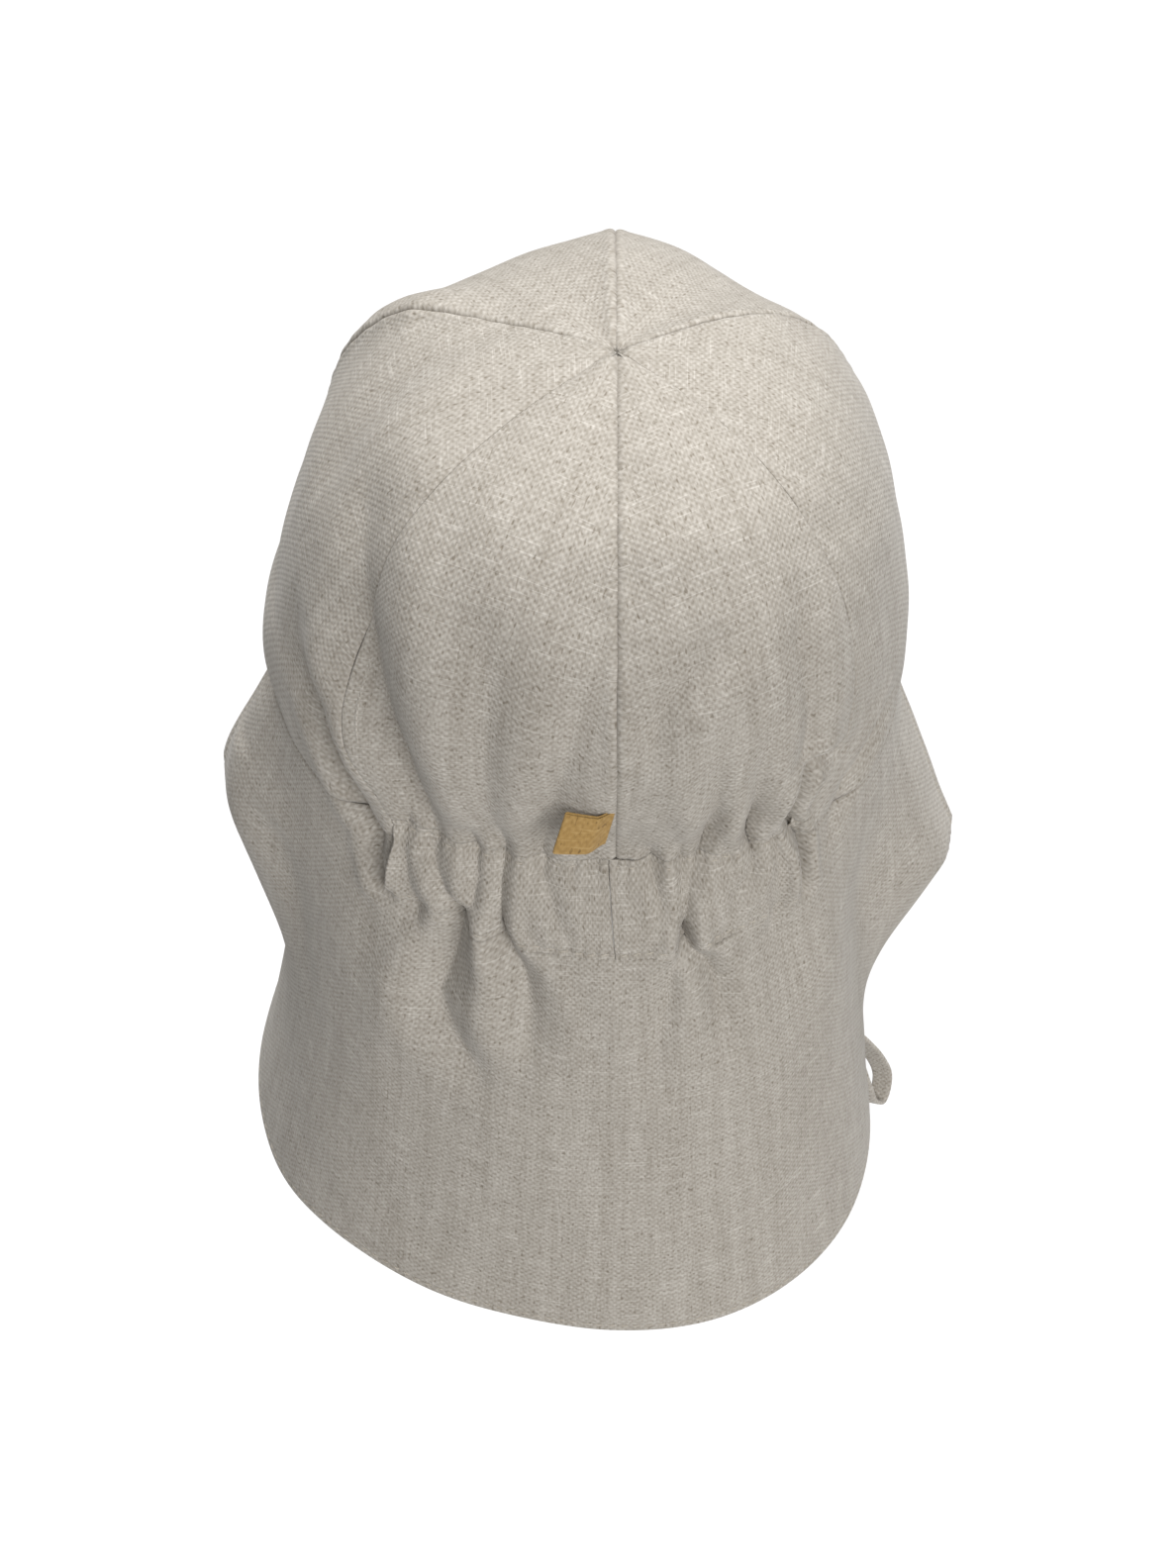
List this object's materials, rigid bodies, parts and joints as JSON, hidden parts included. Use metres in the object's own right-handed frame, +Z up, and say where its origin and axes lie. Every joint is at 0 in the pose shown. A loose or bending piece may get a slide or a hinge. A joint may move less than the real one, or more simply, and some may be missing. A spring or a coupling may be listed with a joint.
{
  "type": "legionnaire cap",
  "caption": "Child's linen sun cap with a gored crown, gathered nape casing, long curved neck flap, short soft peak and chin ties in a bow.",
  "frame": {"origin": "centre of the head opening, in the plane of the rim at the sides and the front, as the cap sits on a head", "axes": "+Z up through the crown, -Y ahead along the peak, +Y to the nape, +X to the wearer's left"},
  "size_m": [0.1976, 0.2464, 0.3255],
  "materials": {
    "linen": "natural unbleached plain weave, matt, with slubs",
    "label_twill": "mustard tan woven tape, satin"
  },
  "bodies": {
    "root": {"gore_back_left": "linen", "gore_side_left": "linen", "gore_front_left": "linen", "gore_back_right": "linen", "gore_side_right": "linen", "gore_front_right": "linen", "casing_left": "linen", "casing_right": "linen", "neck_flap": "linen", "peak": "linen", "chin_tie_left": "linen", "chin_tie_right": "linen", "tie_bow": "linen", "label": "label_twill"}
  },
  "joints": []
}
